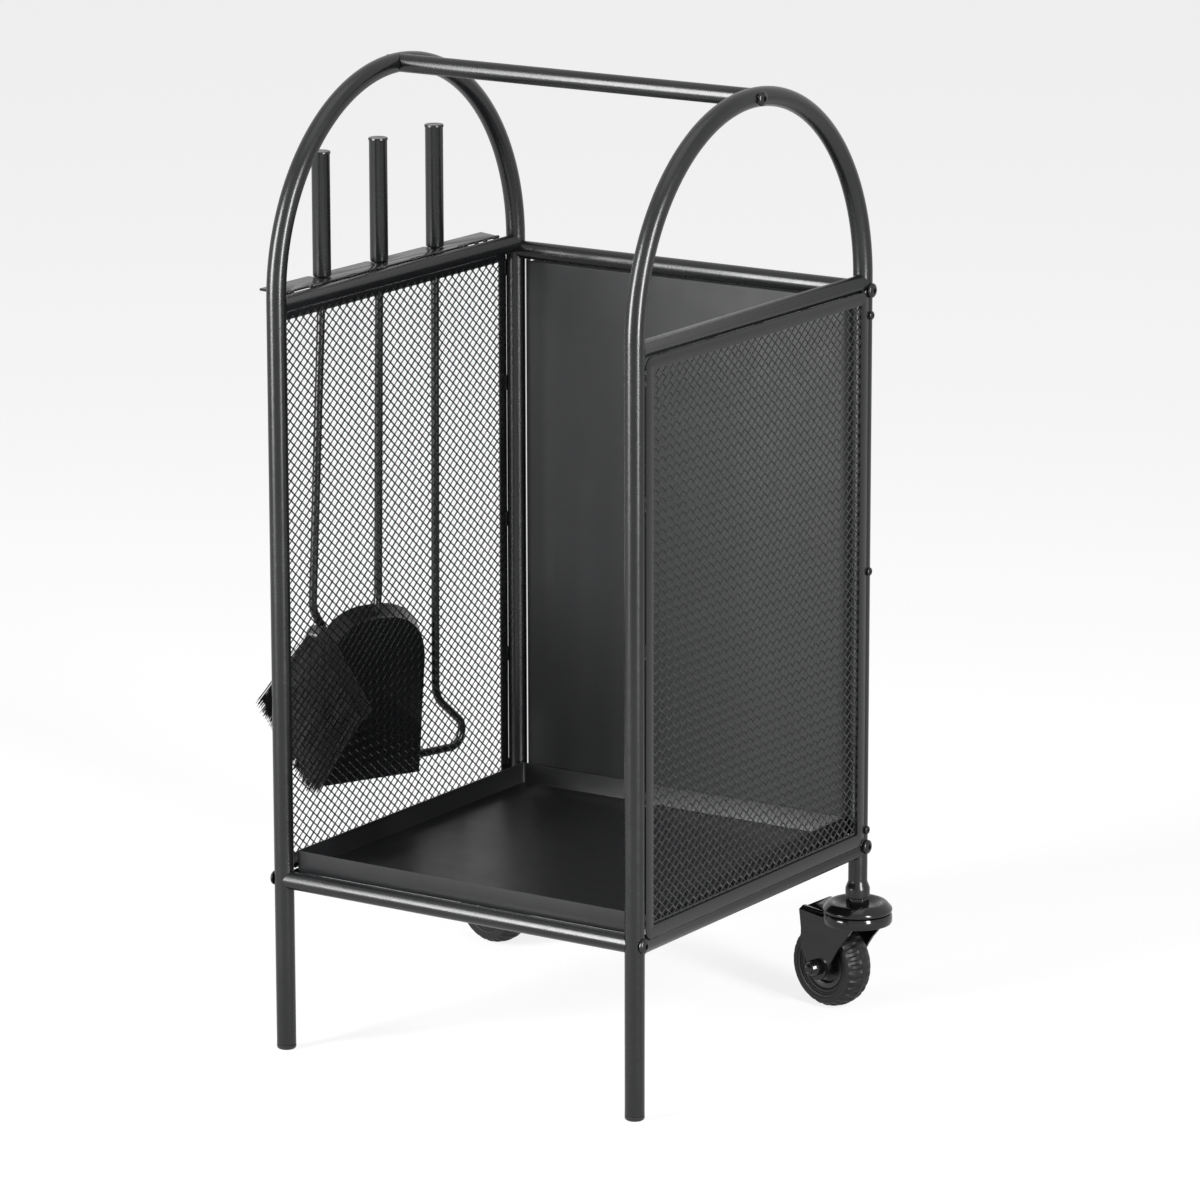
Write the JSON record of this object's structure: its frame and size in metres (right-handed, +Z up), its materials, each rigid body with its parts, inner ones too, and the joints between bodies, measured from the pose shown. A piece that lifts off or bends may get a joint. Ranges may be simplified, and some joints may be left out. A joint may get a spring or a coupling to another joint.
{
  "type": "fireside log cart",
  "caption": "Upright fireside log cart with two tubular hoops, mesh sides, a sheet back, a lift-out tray, hanging hearth tools and swivel casters behind.",
  "frame": {"origin": "on the floor, midway between the axes of the four legs", "axes": "+Z up, the open front faces -Y, the tools hang on the -X side, the casters are at +Y"},
  "size_m": [0.433, 0.3781, 0.7997],
  "materials": {
    "coat": "black satin powder coat on steel tube, strip and mesh",
    "sheet": "black satin powder coat on folded sheet",
    "gloss": "black gloss coating on pressed caster parts",
    "fastener": "blackened steel button-head and dome screws",
    "nylon": "black moulded plastic",
    "tyre": "black rubber with block tread",
    "bristle": "stiff black synthetic bristle"
  },
  "bodies": {
    "cart": {"left_hoop": "coat", "right_hoop": "coat", "left_foot_cap": "nylon", "right_foot_cap": "nylon", "handle_tube": "coat", "rear_upper_rail": "coat", "rear_lower_rail": "coat", "front_lower_rail": "coat", "left_upper_rail": "coat", "left_lower_rail": "coat", "right_upper_rail": "coat", "right_lower_rail": "coat", "left_mesh_frame": "coat", "left_mesh": "coat", "right_mesh_frame": "coat", "right_mesh": "coat", "rear_panel": "sheet", "tool_plate": "coat", "handle_bolt_left": "fastener", "handle_bolt_right": "fastener", "rear_upper_bolt_left": "fastener", "rear_upper_bolt_right": "fastener", "rear_lower_bolt_left": "fastener", "rear_lower_bolt_right": "fastener", "front_lower_bolt_left": "fastener", "front_lower_bolt_right": "fastener", "panel_screw_low_left": "fastener", "panel_screw_low_right": "fastener", "panel_screw_mid_left": "fastener", "panel_screw_mid_right": "fastener", "panel_screw_high_left": "fastener", "panel_screw_high_right": "fastener", "left_caster_stem": "gloss", "left_leg_insert": "fastener", "left_caster_cup": "gloss", "right_caster_stem": "gloss", "right_leg_insert": "fastener", "right_caster_cup": "gloss"},
    "tray": {"tray": "sheet"},
    "brush": {"brush_handle": "coat", "brush_rod": "coat", "brush_head": "nylon", "brush_bristles": "bristle"},
    "shovel": {"shovel_handle": "coat", "shovel_rod": "coat", "shovel_pan": "coat"},
    "poker": {"poker_handle": "coat", "poker_rod": "coat"},
    "left_swivel": {"left_caster_fork": "gloss", "left_axle_bolt": "gloss", "left_axle_nut": "gloss"},
    "left_wheel": {"left_wheel_hub": "nylon", "left_tyre": "tyre"},
    "right_swivel": {"right_caster_fork": "gloss", "right_axle_bolt": "gloss", "right_axle_nut": "gloss"},
    "right_wheel": {"right_wheel_hub": "nylon", "right_tyre": "tyre"}
  },
  "joints": [
    {"name": "tray_lift", "type": "slide", "parent": "cart", "child": "tray", "axis": [0, 0, 1], "range_m": [0, 0.15]},
    {"name": "brush_lift", "type": "slide", "parent": "cart", "child": "brush", "axis": [0, 0.0681, 0.9977], "range_m": [0, 0.05]},
    {"name": "shovel_lift", "type": "slide", "parent": "cart", "child": "shovel", "axis": [0.0467, -0.0435, 0.998], "range_m": [0, 0.05]},
    {"name": "poker_out", "type": "slide", "parent": "cart", "child": "poker", "axis": [-1, 0, 0], "range_m": [0, 0.06]},
    {"name": "left_caster_swivel", "type": "hinge", "parent": "cart", "child": "left_swivel", "pos_m": [-0.17, 0.17, 0.083], "axis": [0, 0, 1], "continuous": true},
    {"name": "left_wheel_spin", "type": "hinge", "parent": "left_swivel", "child": "left_wheel", "pos_m": [-0.19788, 0.17592, 0.0365], "axis": [0.2079, 0.9781, 0], "continuous": true},
    {"name": "right_caster_swivel", "type": "hinge", "parent": "cart", "child": "right_swivel", "pos_m": [0.17, 0.17, 0.083], "axis": [0, 0, 1], "continuous": true},
    {"name": "right_wheel_spin", "type": "hinge", "parent": "right_swivel", "child": "right_wheel", "pos_m": [0.14212, 0.17592, 0.0365], "axis": [0.2079, 0.9781, 0], "continuous": true}
  ]
}
